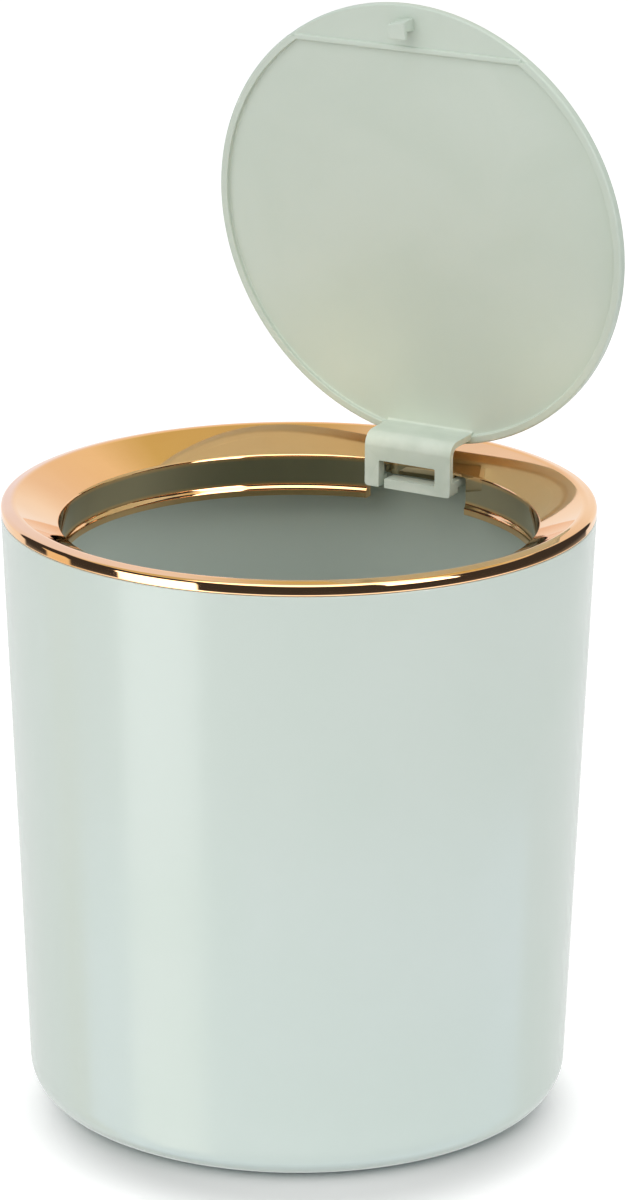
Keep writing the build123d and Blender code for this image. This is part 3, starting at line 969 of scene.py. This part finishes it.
def makePanelGroup():
    # a soft-edged window in azimuth and elevation, in degrees
    group, source, result = newGroup("softPanel", [
        (title, "NodeSocketFloat", 0.0) for title in
        ("Azimuth", "Elevation", "Left", "Right", "Low", "High", "Edge")
    ], [("Mask", "NodeSocketFloat")])
    masks = []
    for row, (value, low, high) in enumerate((("Azimuth", "Left", "Right"), ("Elevation", "Low", "High"))):
        for column, (limit, sign) in enumerate(((low, 1), (high, -1))):
            down = 300 - 200 * row - 90 * column
            away = addNode(group, "ShaderNodeMath", (-600, down), operation="SUBTRACT")
            ends = (value, limit) if sign > 0 else (limit, value)
            link(group, source.outputs[ends[0]], away.inputs[0])
            link(group, source.outputs[ends[1]], away.inputs[1])
            soft = addNode(group, "ShaderNodeMapRange", (-350, down), interpolation_type="SMOOTHSTEP")
            link(group, away.outputs[0], soft.inputs["Value"])
            link(group, source.outputs["Edge"], soft.inputs["From Max"])
            masks.append(soft.outputs[0])
    total = masks[0]
    for number, mask in enumerate(masks[1:]):
        both = addNode(group, "ShaderNodeMath", (-50 + 150 * number, 0), operation="MULTIPLY")
        link(group, total, both.inputs[0])
        link(group, mask, both.inputs[1])
        total = both.outputs[0]
    link(group, total, result.inputs["Mask"])
    return group


# what shiny surfaces see: a pale room with a dark wall behind the camera, and lit panels, in degrees
# as seen from the ring; azimuth 0 is behind the camera and positive to its right
domeSize = {"radius": 0.4, "height": 0.142}
roomColours = [
    # elevation, colour of the walls and ceiling
    (0, (1, 1, 1, 1)),
    (14, (1, 1, 1, 1)),
    (25, (0.92, 0.86, 0.8, 1)),
    (41, (0.92, 0.86, 0.69, 1)),
    (50, (0.67, 0.62, 0.31, 1)),
    (62, (0.64, 0.6, 0.33, 1)),
    (74, (0.68, 0.76, 0.82, 1)),
    (90, (0.68, 0.76, 0.82, 1)),
]
domePanels = [
    # left, right, low, high, edge, colour
    (-180, -105, -10, 75, 22, (0.93, 0.99, 1.25, 1)),
    (-100, 100, -91, -27, 2, (1.5, 1.7, 2.1, 1)),
    (-122, 137.5, -17, 41, 2.5, (0.05, 0.05, 0.055, 1)),
    (-50, 70, 41.5, 80, 3, (3.2, 3.1, 2.8, 1)),
    (-105, -89, -60, 0, 2, (0.95, 0.84, 0.62, 1)),
    (-67, -34.5, -60, 10, 1.5, (3.4, 3.4, 3.4, 1)),
    (29.5, 58, -3, 40, 1.5, (4.5, 4.5, 4.5, 1)),
]


def addDome():
    deselectAll()
    bpy.ops.mesh.primitive_uv_sphere_add(
        segments=96, ring_count=48, radius=domeSize["radius"], location=(0, 0, domeSize["height"]))
    dome = bpy.context.active_object
    dome.name = "studioDome"
    settle(dome)
    material = bpy.data.materials.new("studioDome")
    material.use_nodes = True
    tree = material.node_tree
    tree.nodes.clear()
    panel = makePanelGroup()
    place = addNode(tree, "ShaderNodeTexCoord", (-1800, 0))
    turned = addNode(tree, "ShaderNodeMapping", (-1600, 0))
    turned.inputs["Location"].default_value = (0, 0, -domeSize["height"])
    turned.inputs["Rotation"].default_value = (0, 0, -math.radians(view["azimuth"]))
    link(tree, place.outputs["Object"], turned.inputs["Vector"])
    unit = addNode(tree, "ShaderNodeVectorMath", (-1400, 0), operation="NORMALIZE")
    link(tree, turned.outputs["Vector"], unit.inputs[0])
    apart = addNode(tree, "ShaderNodeSeparateXYZ", (-1200, 0))
    link(tree, unit.outputs[0], apart.inputs[0])
    toward = addNode(tree, "ShaderNodeMath", (-1000, 100), operation="MULTIPLY")
    toward.inputs[1].default_value = -1
    link(tree, apart.outputs["Y"], toward.inputs[0])
    azimuth = addNode(tree, "ShaderNodeMath", (-800, 100), operation="ARCTAN2")
    link(tree, apart.outputs["X"], azimuth.inputs[0])
    link(tree, toward.outputs[0], azimuth.inputs[1])
    elevation = addNode(tree, "ShaderNodeMath", (-800, -100), operation="ARCSINE")
    link(tree, apart.outputs["Z"], elevation.inputs[0])
    degrees = []
    for number, angle in enumerate((azimuth, elevation)):
        turn = addNode(tree, "ShaderNodeMath", (-600, 100 - 200 * number), operation="DEGREES")
        link(tree, angle.outputs[0], turn.inputs[0])
        degrees.append(turn.outputs[0])
    share = addNode(tree, "ShaderNodeMapRange", (-600, -400))
    share.inputs["From Max"].default_value = 90
    link(tree, degrees[1], share.inputs["Value"])
    walls = addNode(tree, "ShaderNodeValToRGB", (-400, -400))
    stops = walls.color_ramp.elements
    for number, (level, tint) in enumerate(roomColours):
        stop = stops[number] if number < 2 else stops.new(level / 90)
        stop.position = level / 90
        stop.color = tint
    link(tree, share.outputs[0], walls.inputs["Fac"])
    colour = walls.outputs["Color"]
    for number, (left, right, low, high, edge, lit) in enumerate(domePanels):
        window = addNode(tree, "ShaderNodeGroup", (-350 + 250 * number, 200))
        window.node_tree = panel
        for title, value in zip(("Left", "Right", "Low", "High", "Edge"), (left, right, low, high, edge)):
            window.inputs[title].default_value = value
        link(tree, degrees[0], window.inputs["Azimuth"])
        link(tree, degrees[1], window.inputs["Elevation"])
        colour = mixColours(tree, (-350 + 250 * number, -50), window.outputs["Mask"], colour, lit)
    glow = addNode(tree, "ShaderNodeEmission", (800, 0), Strength=1.0)
    link(tree, colour, glow.inputs["Color"])
    out = addNode(tree, "ShaderNodeOutputMaterial", (1000, 0))
    link(tree, glow.outputs[0], out.inputs[0])
    dress(dome, material)
    for flag in ("visible_camera", "visible_diffuse", "visible_shadow", "visible_transmission"):
        setattr(dome, flag, False)


roomLight = 0.35  # strength of the even light on the object


def addWorld():
    world = bpy.data.worlds.new("whiteRoom")
    scene.world = world
    world.use_nodes = True
    tree = world.node_tree
    tree.nodes.clear()
    path = addNode(tree, "ShaderNodeLightPath", (-600, 200))
    either = addNode(tree, "ShaderNodeMath", (-400, 200), operation="MAXIMUM")
    anyOf = addNode(tree, "ShaderNodeMath", (-200, 200), operation="MAXIMUM")
    link(tree, path.outputs["Is Camera Ray"], either.inputs[0])
    link(tree, path.outputs["Is Glossy Ray"], either.inputs[1])
    link(tree, either.outputs[0], anyOf.inputs[0])
    link(tree, path.outputs["Is Transmission Ray"], anyOf.inputs[1])
    seen = addNode(tree, "ShaderNodeBackground", (0, 100), Color=(1, 1, 1, 1), Strength=1.0)
    soft = addNode(tree, "ShaderNodeBackground", (0, -100), Color=(1, 1, 1, 1), Strength=roomLight)
    mix = addNode(tree, "ShaderNodeMixShader", (200, 0))
    out = addNode(tree, "ShaderNodeOutputWorld", (400, 0))
    link(tree, anyOf.outputs[0], mix.inputs[0])
    link(tree, soft.outputs[0], mix.inputs[1])
    link(tree, seen.outputs[0], mix.inputs[2])
    link(tree, mix.outputs[0], out.inputs[0])


floorLook = {
    "size": 16,
    "tone": 0.95,
    # painted shadow: the floor is darker to the camera near the foot, round a middle shifted to the front
    # left
    "paintedShadowTone": 0.69,  # darker to the camera alone; the glow below lifts it again away from the foot
    "centre": (0.0142, -0.0195, 0),
    "glowStart": 0.046,
    "glowFull": 0.074,
    "glow": 0.6,
}


def addFloor():
    deselectAll()
    bpy.ops.mesh.primitive_plane_add(size=floorLook["size"], location=(0, 0, 0))
    floor = bpy.context.active_object
    floor.name = "paleFloor"
    settle(floor)
    material = bpy.data.materials.new("paleFloor")
    material.use_nodes = True
    tree = material.node_tree
    tree.nodes.clear()
    place = addNode(tree, "ShaderNodeTexCoord", (-1000, -100))
    # painted shadow: away from this middle the camera-only glow lifts the floor to white, so a dark patch
    # stays round the foot
    ahead = addNode(tree, "ShaderNodeVectorMath", (-800, -100), operation="SUBTRACT")
    ahead.inputs[1].default_value = floorLook["centre"]
    link(tree, place.outputs["Object"], ahead.inputs[0])
    far = addNode(tree, "ShaderNodeVectorMath", (-600, -100), operation="LENGTH")
    link(tree, ahead.outputs[0], far.inputs[0])
    lift = addNode(tree, "ShaderNodeMapRange", (-400, -100), interpolation_type="SMOOTHSTEP")
    lift.inputs["From Min"].default_value = floorLook["glowStart"]
    lift.inputs["From Max"].default_value = floorLook["glowFull"]
    lift.inputs["To Max"].default_value = floorLook["glow"]
    link(tree, far.outputs["Value"], lift.inputs["Value"])
    path = addNode(tree, "ShaderNodeLightPath", (-600, 200))
    seen = addNode(tree, "ShaderNodeMath", (-200, 100), operation="MULTIPLY")
    link(tree, path.outputs["Is Camera Ray"], seen.inputs[0])
    link(tree, lift.outputs[0], seen.inputs[1])
    paint = addNode(tree, "ShaderNodeBsdfDiffuse", (0, -50))
    grey, seenGrey = ((floorLook[key],) * 3 + (1,) for key in ("tone", "paintedShadowTone"))
    tone = mixColours(tree, (-200, -50), path.outputs["Is Camera Ray"], grey, seenGrey)
    link(tree, tone, paint.inputs["Color"])
    glow = addNode(tree, "ShaderNodeEmission", (0, 200), Color=(1, 1, 1, 1))
    link(tree, seen.outputs[0], glow.inputs["Strength"])
    both = addNode(tree, "ShaderNodeAddShader", (200, 0))
    out = addNode(tree, "ShaderNodeOutputMaterial", (400, 0))
    link(tree, paint.outputs[0], both.inputs[0])
    link(tree, glow.outputs[0], both.inputs[1])
    link(tree, both.outputs[0], out.inputs[0])
    dress(floor, material)
    floor.visible_glossy = False


addCamera()
addWorld()
addFloor()
addDome()
for name, lamp in roomLamps.items():
    addLamp(name, **lamp)
for name, lamp in nearLamps.items():
    addLamp(name, **lamp)
scene.view_settings.view_transform = "Standard"
print("studio done")
